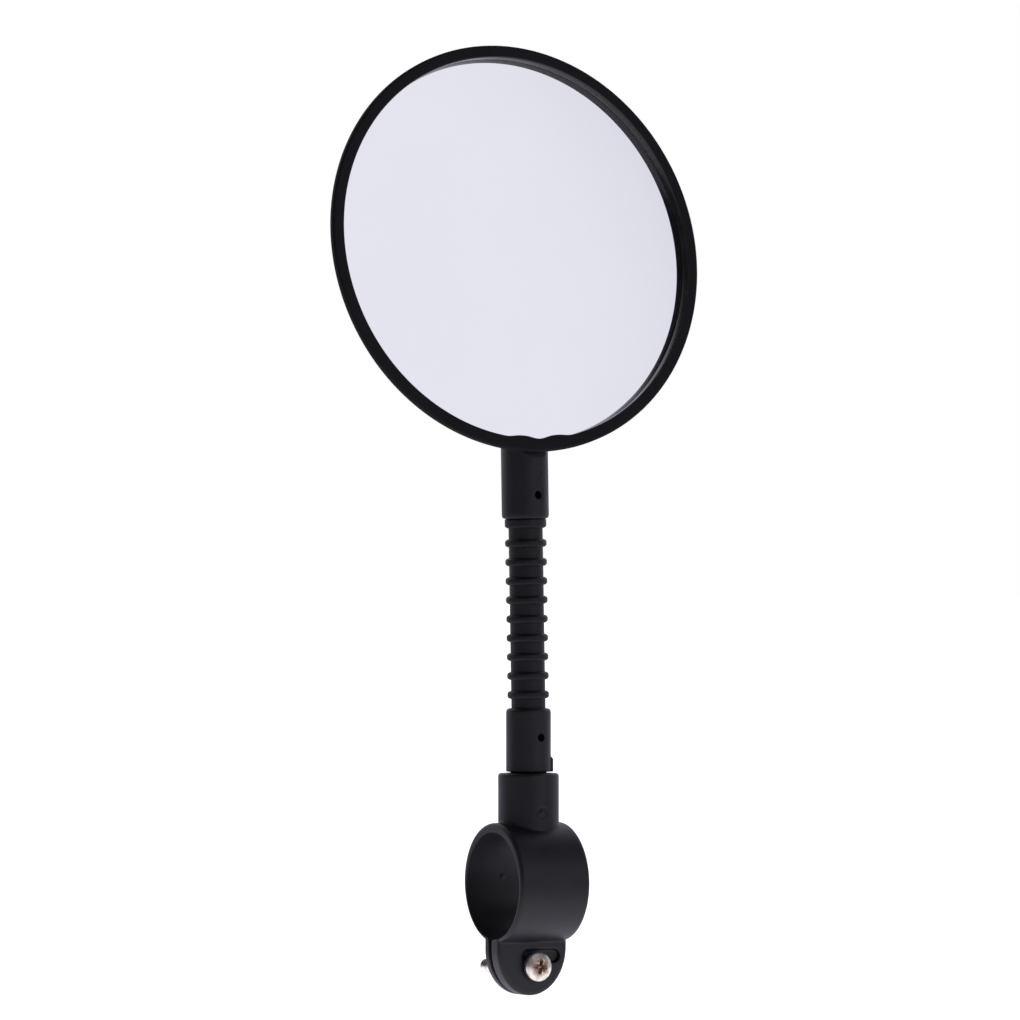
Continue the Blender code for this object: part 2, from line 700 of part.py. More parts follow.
make_clamp_body()
make_clamp_screw()
make_clamp_nut()
swivel = new_empty("swivel_axis", (0.0, 0.0, 0.0))
make_swivel_screw(swivel)
make_swivel_washer(swivel)
make_stem_collar(swivel)
make_head(*make_stem(swivel))
settle_meshes()
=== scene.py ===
"""Looks of the handlebar mirror: moulded plastic clamp and head, ribbed rubber stem, zinc screws.

Metres, in the CAD's frame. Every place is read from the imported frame; the sizes below are details.
"""

import json
import math

import bmesh
import bpy
import numpy as np
from mathutils import Matrix, Vector

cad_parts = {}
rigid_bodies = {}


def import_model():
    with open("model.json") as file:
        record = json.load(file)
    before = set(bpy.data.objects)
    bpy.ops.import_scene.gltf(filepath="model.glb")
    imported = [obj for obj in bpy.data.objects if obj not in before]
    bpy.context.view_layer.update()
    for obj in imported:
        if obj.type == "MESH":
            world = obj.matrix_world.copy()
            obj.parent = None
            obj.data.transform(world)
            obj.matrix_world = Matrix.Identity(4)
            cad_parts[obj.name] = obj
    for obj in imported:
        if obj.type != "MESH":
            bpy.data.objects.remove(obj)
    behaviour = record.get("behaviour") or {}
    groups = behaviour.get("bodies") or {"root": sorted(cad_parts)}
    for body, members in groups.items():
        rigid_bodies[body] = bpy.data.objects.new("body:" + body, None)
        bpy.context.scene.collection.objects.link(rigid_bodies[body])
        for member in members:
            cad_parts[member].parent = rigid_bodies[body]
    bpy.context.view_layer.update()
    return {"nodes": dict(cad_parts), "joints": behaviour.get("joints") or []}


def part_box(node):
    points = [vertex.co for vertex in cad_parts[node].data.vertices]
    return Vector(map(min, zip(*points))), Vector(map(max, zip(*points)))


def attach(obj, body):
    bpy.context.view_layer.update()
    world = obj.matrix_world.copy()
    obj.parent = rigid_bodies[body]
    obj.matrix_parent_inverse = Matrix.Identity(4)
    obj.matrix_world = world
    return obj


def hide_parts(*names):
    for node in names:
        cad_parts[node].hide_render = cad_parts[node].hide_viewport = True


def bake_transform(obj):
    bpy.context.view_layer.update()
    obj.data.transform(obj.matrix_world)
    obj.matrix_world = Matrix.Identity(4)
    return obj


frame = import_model()

# Camera: long lens, level with the middle of the object, looking at the clamp's near side.
VIEW_AZIMUTH = math.radians(-29.5)
CAMERA_DISTANCE = 1.6
CAMERA_HEIGHT = 0.0782
CAMERA_LEFT = 0.00385
VIEW_WIDTH = 0.2127
SENSOR = 36.0

# Light.
FLOOR_SIZE = 12.0
FLOOR_LIGHT = 1.10
FLOOR_FAR_LIGHT = 0.30
FLOOR_GLOW = (0.035, 0.095)
LIGHT_TINT = (0.975, 0.96, 1.06)
PANEL_DIRECTION = Vector((0.34, -0.88, 0.34))
PANEL_EDGE = (0.80, 0.985)
PANEL_LIGHT = 0.99
WALL_EDGE = (0.05, 0.55)
WALL_LIGHT = 1.0
ROOM_LIGHT = 0.05

# Clamp.
GAP = 0.0003
BORE_RADIUS = 0.0111
RING_RADIUS = 0.0125
RING_RISE = 0.0006
RING_EDGE = 0.0008
EAR_THICKNESS = 0.0062
EAR_SHIFT = 0.0005
EAR_TOP = -0.0080
EAR_EDGE = 0.0007
EAR_ARC = 0.0097
EAR_LEAN = 0.0002
SLIT_SHIFT = 0.0011
SLIT_HIGH_WIDTH = 0.0017
SLIT_LOW_WIDTH = 0.0005
SOCKET_RADIUS = 0.00634
SOCKET_EDGE = 0.0005
SOCKET_FLOOR = 0.0156
SOCKET_HOLE_RADIUS = 0.0040
RECESS_RADIUS = 0.0034
RECESS_TOP = 0.0133
OBLONG_X = 0.0016
OBLONG_Z = -0.0147
OBLONG_RADIUS = 0.0014
OBLONG_STRAIGHT = 0.0062
OBLONG_DEPTH = 0.0012
NUT_FLATS = 0.0055
NUT_POCKET_DEPTH = 0.0010

# M3 thread.
M3_RADIUS = 0.0015
M3_PITCH = 0.0005
M3_THREAD_DEPTH = 0.0003
PAN_HEAD_HEIGHT = 0.0019
PAN_CROWN_SHARE = 0.55
PAN_CROWN_DROP = 0.00012
PAN_CROWN_EDGE = 0.0012
PAN_SIDE_DROP = 0.0008
PAN_SIDE_EDGE = 0.0006
PAN_FOOT_EDGE = 0.00015
SWIVEL_HEAD_HEIGHT = 0.0010
SWIVEL_TOP_EDGE = 0.00025
SWIVEL_FOOT_EDGE = 0.0001
CROSS_TURN = math.radians(-8.0)
CROSS_HALF_LENGTH = 0.0017
CROSS_HALF_WIDTH = 0.00042
CROSS_NARROWING = 0.55
CLAMP_CROSS_DEPTH = 0.0011
SWIVEL_CROSS_DEPTH = 0.0006
RUST_RADIUS = 0.0024

# Stem.
COLLAR_EDGE = 0.0008
COLLAR_FOOT_EDGE = 0.0002
STUB_EDGE = 0.0003
PIN_HOLE_RADIUS = 0.00083
PIN_HOLE_TURN = math.radians(6.0)
RIDGE_TURN = math.radians(60.0)
RIDGE_RADIUS = 0.0008
RIDGE_HEIGHT = 0.0031
RIDGE_SINK = 0.0003
RIDGE_TOP_EDGE = 0.0006
RIDGE_FOOT_EDGE = 0.0001
SLEEVE_RADIUS = 0.00357
RIB_HALF_HEIGHT = 0.00085
RIB_CREST = 0.00010
RIB_FULLNESS = 3.0
LAST_RIB_FULLNESS = 8.0
LAST_RIB_REACH = 0.00130
WIRE_HOLE_RADIUS = 0.0019
SLEEVE_END_DEPTH = 0.0026
WIRE_END_DEPTH = 0.0102
SLEEVE_OUTER_STEP = 0.0002
SLEEVE_INNER_STEP = 0.0003

# Head. Depths run back from the bezel's front plane.
HEAD_RADIUS = 0.0434
WINDOW_RADIUS = 0.0408
TAB_REACH = 0.00055
TAB_RISE = 0.0034
TAB_CREST = 0.0042
TAB_FALL = 0.0038
BEZEL_SIDE = 0.00145
BEZEL_DEPTH = 0.0023
BEZEL_WINDOW_EDGE = 0.00025
BEZEL_FRONT_EDGE = 0.00055
BEZEL_SIDE_EDGE = 0.0004
BEZEL_BACK_EDGE = 0.0001
BEZEL_LENS_GAP = 0.0001
SHELL_RADIUS = 0.0425
SHELL_DEPTH = 0.0098
SHELL_WALL = 0.0016
LENS_THICKNESS = 0.0012
LENS_RECESS = 0.0022
LENS_BEVEL = 0.0003
LENS_CURVE = 0.600
SEAT_DEPTH = 0.0037
SEAT_RADIUS = 0.0400
NECK_RADIUS = 0.00493
NECK_EDGE = 0.0004
NECK_LENGTH = 0.0222
FOAM_INNER = 0.0160
FOAM_OUTER = 0.0220
FOAM_THICKNESS = 0.0010
FOAM_EDGE = 0.0003

# Moulding marks, each a (radius, depth, edge). A negative depth stands proud.
BORE_PIP = (0.0006, -0.00018, 0.0003)
BORE_PIP_Z = 0.0014
GATE_DISC = (0.0015, 0.00026, 0.00035)
GATE_DOT = (0.0008, -0.00030, 0.00035)
GATE_TURN = math.radians(-2.0)
GATE_HEIGHT = 0.0153
NECK_DISC = (0.0010, 0.00015, 0.0003)
NECK_DOT = (0.0005, -0.00015, 0.0002)
NECK_MARK_RISE = 0.0046

ALONG_X = Matrix.Rotation(math.radians(90.0), 4, "Y")
ALONG_Y = Matrix.Rotation(math.radians(90.0), 4, "X")
MERGE = 1e-7
FINE = 128
MEDIUM = 64
COARSE = 32
CLAMP_VOXEL = 0.00022
COLLAR_VOXEL = 0.00014
SHELL_VOXEL = 0.00030


# ---------------------------------------------------------------- places read from the frame


def cad_points(node):
    return np.array([v.co for v in frame["nodes"][node].data.vertices], float)


def along(origin, direction, up):
    """Places Z along a direction, with Y as near as can be to another one."""
    z = direction.normalized()
    x = up.cross(z).normalized()
    y = z.cross(x)
    turn = Matrix((x, y, z)).transposed().to_4x4()
    return Matrix.Translation(origin) @ turn


clamp_low, clamp_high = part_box("clamp_body")
collar_low, collar_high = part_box("stem_collar")
swivel_low, swivel_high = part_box("swivel_screw")

RING_HALF = (clamp_high[0] - clamp_low[0]) / 2
RING_SHIFT = (clamp_high[0] + clamp_low[0]) / 2
FRONT_FACE = EAR_THICKNESS / 2 - EAR_SHIFT
REAR_FACE = EAR_THICKNESS / 2 + EAR_SHIFT
SOCKET_TOP = clamp_high[2]
EAR_BOTTOM = clamp_low[2]
COLLAR_TOP = collar_high[2]
COLLAR_RADIUS = -collar_low[0]

SCREW_JOINT = next(joint for joint in frame["joints"] if joint["name"] == "clamp_screw_turn")
SCREW_AXIS = Vector(SCREW_JOINT["axis"]).normalized()
SCREW_PLACE = along(Vector(SCREW_JOINT["pos_m"]), SCREW_AXIS, Vector((0.0, 0.0, 1.0)))

BENDS = [j for j in frame["joints"] if j["name"].startswith("bend_")]
BENDS.sort(key=lambda joint: joint["pos_m"][2])
BEND_PLACES = [Vector(joint["pos_m"]) for joint in BENDS]
STEM_UP = (BEND_PLACES[-1] - BEND_PLACES[0]).normalized()
STEM_FOOT = Vector((0.0, 0.0, COLLAR_TOP))
STEM = along(STEM_FOOT, STEM_UP, Vector((0.0, 1.0, 0.0)))
RIB_PITCH = (BEND_PLACES[1] - BEND_PLACES[0]).length
BEND_HEIGHTS = [(place - STEM_FOOT).length for place in BEND_PLACES]
RIB_HEIGHTS = [BEND_HEIGHTS[0] - RIB_PITCH / 2 + RIB_PITCH * i for i in range(len(BENDS) + 1)]
RIB_RADIUS = (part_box("sleeve_segment_05")[1][1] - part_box("sleeve_segment_05")[0][1]) / 2
SLEEVE_TOP_POINTS = (cad_points("sleeve_segment_10") - np.array(STEM_FOOT)) @ np.array(STEM_UP)
SLEEVE_TOP = float(SLEEVE_TOP_POINTS.max())
NECK_BOTTOM = SLEEVE_TOP - SLEEVE_END_DEPTH + GAP


def head_frame():
    """Z out of the mirror at the bezel's front plane, Y up the head, from the lens's own shape."""
    points = cad_points("mirror_lens")
    centre = (points.min(axis=0) + points.max(axis=0)) / 2
    middle = points.mean(axis=0)
    normal = Vector(np.linalg.eigh(np.cov((points - middle).T))[1][:, 0])
    if normal.y > 0:
        normal = -normal
    bezel = cad_points("bezel_ring")
    front = float(((bezel - centre) @ np.array(normal)).max())
    axis_point = Vector(middle)
    axis_point += normal * (front - (axis_point - Vector(centre)).dot(normal))
    return along(axis_point, normal, STEM_UP)


def span_along(node, place):
    """The lowest and highest points of a CAD node along a place's Z axis."""
    axis = np.array(place.col[2][:3])
    heights = (cad_points(node) - np.array(place.translation)) @ axis
    return float(heights.min()), float(heights.max())


HEAD = head_frame()
LENS_REACHES = np.linalg.norm(cad_points("mirror_lens") - np.array(HEAD.translation), axis=1)
LENS_RADIUS = float(LENS_REACHES.max())


# ---------------------------------------------------------------- mesh tools


def link(name, mesh):
    piece = bpy.data.objects.new(name, mesh)
    bpy.context.scene.collection.objects.link(piece)
    return piece


def surface(name, points, faces, matrix=Matrix.Identity(4)):
    """A mesh from points and faces, with doubled points joined and its faces turned outwards."""
    mesh = bpy.data.meshes.new(name)
    mesh.from_pydata([matrix @ Vector(p) for p in points], [], faces)
    shape = bmesh.new()
    shape.from_mesh(mesh)
    bmesh.ops.remove_doubles(shape, verts=shape.verts, dist=MERGE)
    bmesh.ops.recalc_face_normals(shape, faces=shape.faces)
    shape.to_mesh(mesh)
    shape.free()
    return link(name, mesh)


def rings_to_faces(rings, steps, closed):
    """Quads between rings of points that are all round, row after row."""
    faces = []
    for ring in range(rings if closed else rings - 1):
        here = ring * steps
        there = (ring + 1) % rings * steps
        for step in range(steps):
            turn = (step + 1) % steps
            faces.append((here + step, here + turn, there + turn, there + step))
    return faces


def lathe(name, profile, matrix=Matrix.Identity(4), steps=FINE, shift=None):
    """Turns a profile of (radius, height) about Z. shift(radius, height, angle) may move each point."""
    closed = profile[0][0] > 0.0
    points = []
    for radius, height in profile:
        for step in range(steps):
            angle = 2 * math.pi * step / steps
            r, z = shift(radius, height, angle) if shift else (radius, height)
            points.append((r * math.cos(angle), r * math.sin(angle), z))
    return surface(name, points, rings_to_faces(len(profile), steps, closed), matrix)


def rounded(corners, closed=False, steps=5):
    """A profile whose corners, given as (radius, height, fillet), are replaced by arcs."""
    count = len(corners)
    profile = []
    for i, (r, z, fillet) in enumerate(corners):
        here = Vector((r, z))
        if fillet <= 0.0 or (not closed and i in (0, count - 1)):
            profile.append((r, z))
            continue
        before = (Vector(corners[i - 1][:2]) - here).normalized()
        after = (Vector(corners[(i + 1) % count][:2]) - here).normalized()
        half = before.angle(after) / 2
        reach = fillet / math.tan(half)
        centre = here + (before + after).normalized() * fillet / math.sin(half)
        start = here + before * reach - centre
        sweep = start.angle_signed(here + after * reach - centre)
        for step in range(steps + 1):
            turn = -sweep * step / steps
            x = start.x * math.cos(turn) - start.y * math.sin(turn)
            y = start.x * math.sin(turn) + start.y * math.cos(turn)
            profile.append((centre.x + x, centre.y + y))
    return profile


def cylinder(name, radius, low, high, matrix=Matrix.Identity(4), steps=MEDIUM):
    return lathe(name, [(0.0, high), (radius, high), (radius, low), (0.0, low)], matrix, steps)


def prism(name, flats, low, high, matrix):
    """A hexagonal prism with corners on X."""
    radius = flats / 2 / math.cos(math.pi / 6)
    return cylinder(name, radius, low, high, matrix, 6)


def settle(piece):
    """Turns the modifiers into the mesh."""
    bpy.context.view_layer.update()
    graph = bpy.context.evaluated_depsgraph_get()
    mesh = bpy.data.meshes.new_from_object(piece.evaluated_get(graph))
    piece.modifiers.clear()
    piece.data = mesh
    return piece


def carve(piece, operation, others):
    """Joins or cuts with other shapes, which are used up."""
    for other in others:
        boolean = piece.modifiers.new(other.name, "BOOLEAN")
        boolean.operation = operation
        boolean.object = other
    settle(piece)
    for other in others:
        bpy.data.objects.remove(other, do_unlink=True)
    return piece


def mould(piece, voxel, smoothing):
    """Rounds every edge a little, as a moulding's are: a fine remesh and a light smoothing."""
    remesh = piece.modifiers.new("remesh", "REMESH")
    remesh.mode = "VOXEL"
    remesh.voxel_size = voxel
    smooth = piece.modifiers.new("smooth", "SMOOTH")
    smooth.factor = 0.5
    smooth.iterations = smoothing
    return settle(piece)


def shade(piece, material, degrees=35.0):
    piece.data.materials.clear()
    piece.data.materials.append(material)
    piece.data.shade_smooth()
    piece.data.set_sharp_from_angle(angle=math.radians(degrees))
    return piece


def press(piece, centre, mark):
    """Sinks a round mark into the surface, or raises it if its depth is negative."""
    radius, depth, edge = mark
    shape = bmesh.new()
    shape.from_mesh(piece.data)
    shape.normal_update()
    for vertex in shape.verts:
        distance = (vertex.co - centre).length
        if distance < radius:
            share = min(1.0, (radius - distance) / edge)
            vertex.co -= vertex.normal * depth * share * share * (3 - 2 * share)
    shape.to_mesh(piece.data)
    shape.free()


def radial(origin, turn, height):
    """Z outwards from the stem at a height, turned from -Y towards +X."""
    return origin @ Matrix.Translation((0.0, 0.0, height)) @ Matrix.Rotation(turn, 4, "Z") @ ALONG_Y


def facing(turn, radius, height):
    """A point at a radius from the Z axis, turned from -Y towards +X."""
    return Vector((radius * math.sin(turn), -radius * math.cos(turn), height))


# ---------------------------------------------------------------- materials


def new_material(name, roughness, metallic=0.0, specular=0.5):
    material = bpy.data.materials.new(name)
    material.use_nodes = True
    shader = material.node_tree.nodes["Principled BSDF"]
    shader.inputs["Roughness"].default_value = roughness
    shader.inputs["Metallic"].default_value = metallic
    shader.inputs["Specular IOR Level"].default_value = specular
    return material, material.node_tree.nodes, material.node_tree.links, shader


def noise(nodes, links, scale, detail=3.0, stretch=(1.0, 1.0, 1.0)):
    place = nodes.new("ShaderNodeTexCoord")
    mapping = nodes.new("ShaderNodeMapping")
    mapping.inputs["Scale"].default_value = stretch
    texture = nodes.new("ShaderNodeTexNoise")
    texture.inputs["Scale"].default_value = scale
    texture.inputs["Detail"].default_value = detail
    links.new(place.outputs["Object"], mapping.inputs["Vector"])
    links.new(mapping.outputs["Vector"], texture.inputs["Vector"])
    return texture.outputs["Fac"]


def ramp(nodes, links, value, stops):
    """A colour ramp through (position, colour) stops."""
    node = nodes.new("ShaderNodeValToRGB")
    elements = node.color_ramp.elements
    while len(elements) < len(stops):
        elements.new(0.5)
    for element, (position, colour) in zip(elements, stops):
        element.position = position
        element.color = (*colour, 1.0)
    links.new(value, node.inputs["Fac"])
    return node.outputs["Color"]


def spread(nodes, links, value, low, high, start=0.3, stop=0.7, curve="LINEAR"):
    """Maps a range of a value, by default a texture's middle, to another range."""
    node = nodes.new("ShaderNodeMapRange")
    node.interpolation_type = curve
    node.inputs["From Min"].default_value = start
    node.inputs["From Max"].default_value = stop
    node.inputs["To Min"].default_value = low
    node.inputs["To Max"].default_value = high
    links.new(value, node.inputs["Value"])
    return node.outputs["Result"]


def tint(nodes, links, shader, value, stops):
    """Colours the surface through (position, colour) stops."""
    links.new(ramp(nodes, links, value, stops), shader.inputs["Base Color"])


def combine(nodes, links, operation, a, b):
    node = nodes.new("ShaderNodeMath")
    node.operation = operation
    links.new(a, node.inputs[0])
    links.new(b, node.inputs[1])
    return node.outputs["Value"]


def distance_from(nodes, links, centre):
    """How far each point of the surface is from a centre."""
    place = nodes.new("ShaderNodeTexCoord")
    distance = nodes.new("ShaderNodeVectorMath")
    distance.operation = "DISTANCE"
    distance.inputs[1].default_value = centre
    links.new(place.outputs["Object"], distance.inputs[0])
    return distance.outputs["Value"]


def bump(nodes, links, shader, layers):
    """Stacks bump maps, each a (height, strength, distance)."""
    normal = None
    for height, strength, distance in layers:
        node = nodes.new("ShaderNodeBump")
        node.inputs["Strength"].default_value = strength
        node.inputs["Distance"].default_value = distance
        links.new(height, node.inputs["Height"])
        if normal:
            links.new(normal, node.inputs["Normal"])
        normal = node.outputs["Normal"]
    links.new(normal, shader.inputs["Normal"])


def moulded_plastic(name, dark, pale, rough_low, rough_high, specular):
    """Black plastic from an etched mould: fine grain, faint flow marks and dusty patches."""
    material, nodes, links, shader = new_material(name, rough_low, 0.0, specular)
    patches = noise(nodes, links, 140.0, 4.0)
    tint(nodes, links, shader, patches, [(0.35, dark), (0.75, pale)])
    links.new(spread(nodes, links, patches, rough_low, rough_high), shader.inputs["Roughness"])
    grain = noise(nodes, links, 5200.0, 2.0)
    flow = noise(nodes, links, 260.0, 2.0, (1.0, 1.0, 0.35))
    bump(nodes, links, shader, [(flow, 0.25, 0.00012), (grain, 0.35, 0.00002)])
    return material


def rust_share(nodes, links, centre):
    """1 where rust covers the plate and 0 where it is clean: specks, gathered round a centre."""
    distance = distance_from(nodes, links, centre)
    near = spread(nodes, links, distance, 1.0, 0.0, RUST_RADIUS / 2, RUST_RADIUS)
    specks = spread(nodes, links, noise(nodes, links, 1100.0, 5.0), 0.0, 1.0, 0.30, 0.48)
    return combine(nodes, links, "MULTIPLY", near, specks)


def zinc(name, rust_centre):
    """Zinc plate, dull in patches, with rust gathered round a screw's recess."""
    material, nodes, links, shader = new_material(name, 0.3, 1.0)
    patches = noise(nodes, links, 900.0, 4.0)
    plate = ramp(nodes, links, patches, [(0.3, (0.46, 0.42, 0.37)), (0.6, (0.83, 0.78, 0.70))])
    rust = rust_share(nodes, links, rust_centre)
    mix = nodes.new("ShaderNodeMix")
    mix.data_type = "RGBA"
    mix.inputs["B"].default_value = (0.16, 0.050, 0.014, 1.0)
    links.new(rust, mix.inputs["Factor"])
    links.new(plate, mix.inputs["A"])
    links.new(mix.outputs["Result"], shader.inputs["Base Color"])
    links.new(spread(nodes, links, rust, 1.0, 0.0, 0.0, 1.0), shader.inputs["Metallic"])
    links.new(spread(nodes, links, patches, 0.42, 0.24), shader.inputs["Roughness"])
    bump(nodes, links, shader, [(noise(nodes, links, 2600.0), 0.3, 0.00004)])
    return material


def drawn_steel(name, dark, pale):
    material, nodes, links, shader = new_material(name, 0.35, 1.0)
    streaks = noise(nodes, links, 2500.0, 3.0, (1.0, 1.0, 0.03))
    tint(nodes, links, shader, streaks, [(0.3, dark), (0.7, pale)])
    links.new(spread(nodes, links, streaks, 0.28, 0.45), shader.inputs["Roughness"])
    bump(nodes, links, shader, [(streaks, 0.3, 0.00002)])
    return material


def silvered_glass(name):
    """Cool silver, with faint haze that only shows in its reflections."""
    material, nodes, links, shader = new_material(name, 0.02, 1.0)
    haze = noise(nodes, links, 45.0, 5.0)
    tint(nodes, links, shader, haze, [(0.2, (0.795, 0.805, 0.815)), (0.8, (0.815, 0.825, 0.835))])
    links.new(spread(nodes, links, haze, 0.015, 0.05), shader.inputs["Roughness"])
    bump(nodes, links, shader, [(noise(nodes, links, 30.0, 1.0), 0.02, 0.0002)])
    return material


def backing_paint(name):
    material, nodes, links, shader = new_material(name, 0.6)
    brushed = noise(nodes, links, 700.0, 3.0)
    tint(nodes, links, shader, brushed, [(0.3, (0.10, 0.10, 0.11)), (0.7, (0.16, 0.16, 0.17))])
    bump(nodes, links, shader, [(brushed, 0.4, 0.00003)])
    return material


def foam(name):
    material, nodes, links, shader = new_material(name, 0.9)
    cells = nodes.new("ShaderNodeTexVoronoi")
    cells.inputs["Scale"].default_value = 2200.0
    place = nodes.new("ShaderNodeTexCoord")
    links.new(place.outputs["Object"], cells.inputs["Vector"])
    depth = cells.outputs["Distance"]
    tint(nodes, links, shader, depth, [(0.1, (0.09, 0.09, 0.10)), (0.6, (0.24, 0.24, 0.25))])
    bump(nodes, links, shader, [(depth, 0.8, 0.0002)])
    return material


PLASTIC = moulded_plastic(
    "satin_black_plastic", (0.0080, 0.0074, 0.0106), (0.0145, 0.0133, 0.0185), 0.40, 0.52, 0.30
)
RUBBER = moulded_plastic(
    "black_rubber_skin", (0.0074, 0.0066, 0.0094), (0.0140, 0.0126, 0.0170), 0.46, 0.60, 0.28
)
RIM = moulded_plastic(
    "grained_black_rim", (0.0086, 0.0076, 0.0096), (0.0165, 0.0146, 0.0182), 0.55, 0.70, 0.12
)
# Glossy plastic for the bezel's inner wall. Its base colours are paler than the rim's; that paleness is
# painted light standing in for the lit wall.
RIM_WALL_PAINTED_LIGHT = moulded_plastic(
    "polished_rim_wall_painted_light", (0.012, 0.011, 0.014), (0.030, 0.028, 0.034), 0.16, 0.30, 0.55
)
SCREW_TIP, SCREW_TOP = span_along("clamp_screw", SCREW_PLACE)
ZINC = zinc("zinc_plate_clamp", SCREW_PLACE @ Vector((0.0, 0.0, SCREW_TOP)))
SWIVEL_ZINC = zinc("zinc_plate_swivel", Vector((0.0, 0.0, swivel_low[2])))
STEEL = drawn_steel("drawn_steel_wire", (0.30, 0.30, 0.31), (0.55, 0.55, 0.56))
BLACKENED = drawn_steel("blackened_steel_pin", (0.010, 0.010, 0.011), (0.028, 0.027, 0.028))
SILVER = silvered_glass("silvered_mirror_face")
BACKING = backing_paint("mirror_backing_paint")
FOAM = foam("foam_tape")


# ---------------------------------------------------------------- clamp


def loft(name, loops, matrix):
    """Joins loops of points, all of one length, and closes both ends with a face."""
    steps = len(loops[0])
    points = [point for loop in loops for point in loop]
    faces = rings_to_faces(len(loops), steps, False)
    faces.append(tuple(range(steps)))
    faces.append(tuple(range((len(loops) - 1) * steps, len(loops) * steps)))
    return surface(name, points, faces, matrix)


def ear_outline(inset, height):
    """The ears' outline, drawn in by an inset except at the top, which the ring hides."""
    half = RING_HALF - inset
    points = [(half, EAR_TOP, height), (-half, EAR_TOP, height)]
    for step in range(MEDIUM + 1):
        angle = math.pi + math.pi * step / MEDIUM
        x = half * math.cos(angle) + EAR_LEAN * math.sin(angle)
        points.append((x, EAR_BOTTOM + EAR_ARC + (EAR_ARC - inset) * math.sin(angle), height))
    return points


def ear_blank():
    loops = []
    steps = 6
    half = EAR_THICKNESS / 2
    for side in (1, -1):
        for step in range(steps + 1):
            angle = math.radians(90.0) * (step if side > 0 else steps - step) / steps
            inset = EAR_EDGE * (1.0 - math.sin(angle))
            loops.append(ear_outline(inset, side * (half - EAR_EDGE * (1.0 - math.cos(angle)))))
    return loft("ear_blank", loops, Matrix.Translation((RING_SHIFT, EAR_SHIFT, 0.0)) @ ALONG_Y)


def slit_cut():
    """The slit between the ears, which closes towards its foot."""
    high, low = SLIT_HIGH_WIDTH / 2, SLIT_LOW_WIDTH / 2
    top, foot = -BORE_RADIUS / 2, -2 * RING_RADIUS
    corners = [(high, top), (-high, top), (-low, foot), (low, foot)]
    loops = [[(x, SLIT_SHIFT + y, z) for y, z in corners] for x in (-RING_RADIUS, RING_RADIUS)]
    return loft("slit_cut", loops, Matrix.Identity(4))


def oblong_cut():
    """Slot-shaped recess in the front ear, behind the upper half of the screw's head."""
    place = Matrix.Translation((OBLONG_X, -FRONT_FACE, OBLONG_Z)) @ ALONG_Y
    loops = []
    for height in (OBLONG_DEPTH, -OBLONG_DEPTH):
        loop = []
        for side in (1, -1):
            for step in range(MEDIUM // 2 + 1):
                angle = side * math.radians(90.0) - math.pi * step / (MEDIUM // 2)
                x = side * OBLONG_STRAIGHT / 2 + OBLONG_RADIUS * math.cos(angle)
                loop.append((x, OBLONG_RADIUS * math.sin(angle), height))
        loops.append(loop)
    return loft("oblong_cut", loops, place)


def ring_blank():
    profile = rounded(
        [
            (0.0, RING_HALF, 0.0),
            (RING_RADIUS, RING_HALF, RING_EDGE),
            (RING_RADIUS, -RING_HALF, RING_EDGE),
            (0.0, -RING_HALF, 0.0),
        ],
        steps=7,
    )
    return lathe("clamp_body_moulding", profile, Matrix.Translation((RING_SHIFT, 0.0, RING_RISE)) @ ALONG_X)


def socket_blank():
    profile = rounded(
        [
            (0.0, SOCKET_TOP, 0.0),
            (SOCKET_RADIUS, SOCKET_TOP, SOCKET_EDGE),
            (SOCKET_RADIUS, BORE_RADIUS, 0.0),
            (0.0, BORE_RADIUS, 0.0),
        ]
    )
    return lathe("socket_blank", profile)


def socket_cut():
    """The socket's hole for the collar, the swivel screw's hole and its head's recess in the bore."""
    profile = [
        (0.0, 2 * SOCKET_TOP),
        (SOCKET_HOLE_RADIUS, 2 * SOCKET_TOP),
        (SOCKET_HOLE_RADIUS, SOCKET_FLOOR),
        (M3_RADIUS + GAP, SOCKET_FLOOR),
        (M3_RADIUS + GAP, RECESS_TOP),
        (RECESS_RADIUS, RECESS_TOP),
        (RECESS_RADIUS, BORE_RADIUS / 2),
        (0.0, BORE_RADIUS / 2),
    ]
    return lathe("socket_cut", profile, steps=MEDIUM)


def make_clamp_body():
    clamp = ring_blank()
    carve(clamp, "UNION", [socket_blank(), ear_blank()])
    far = 2 * RING_RADIUS
    cuts = [
        cylinder("bore_cut", BORE_RADIUS, -far, far, ALONG_X, FINE),
        slit_cut(),
        cylinder("screw_cut", M3_RADIUS + GAP, -far, far, SCREW_PLACE),
        oblong_cut(),
        prism("nut_pocket_cut", NUT_FLATS + 2 * GAP, -far, NUT_POCKET_DEPTH - REAR_FACE, SCREW_PLACE),
        socket_cut(),
    ]
    carve(clamp, "DIFFERENCE", cuts)
    mould(clamp, CLAMP_VOXEL, 2)
    press(clamp, Vector((0.0, BORE_RADIUS, BORE_PIP_Z)), BORE_PIP)
    gate = facing(GATE_TURN, SOCKET_RADIUS, GATE_HEIGHT)
    press(clamp, gate, GATE_DISC)
    press(clamp, gate, GATE_DOT)
    shade(clamp, PLASTIC, 60.0)
    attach(clamp, "clamp")
    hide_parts("clamp_body")


# ---------------------------------------------------------------- screws


def thread_shift(radius, height, angle):
    """Moves a turned shank's points in and out along a right-hand helix of the M3 pitch."""
    if radius < M3_RADIUS - M3_THREAD_DEPTH:
        return radius, height
    phase = (height / M3_PITCH - angle / (2 * math.pi)) % 1.0
    return radius - M3_THREAD_DEPTH * (1.0 - abs(2.0 * phase - 1.0)), height


def cross_recess(top, depth, matrix):
    """A Phillips recess: two crossed wedges that narrow towards their foot."""
    wedges = []
    for turn in (0.0, math.radians(90.0)):
        loops = []
        for side in (1, -1):
            share = 1.0 + side * (1.0 - CROSS_NARROWING)
            x, y, z = CROSS_HALF_LENGTH * share, CROSS_HALF_WIDTH * share, top + side * depth
            loops.append([(x, y, z), (-x, y, z), (-x, -y, z), (x, -y, z)])
        wedges.append(loft("cross_cut", loops, matrix @ Matrix.Rotation(turn, 4, "Z")))
    return wedges


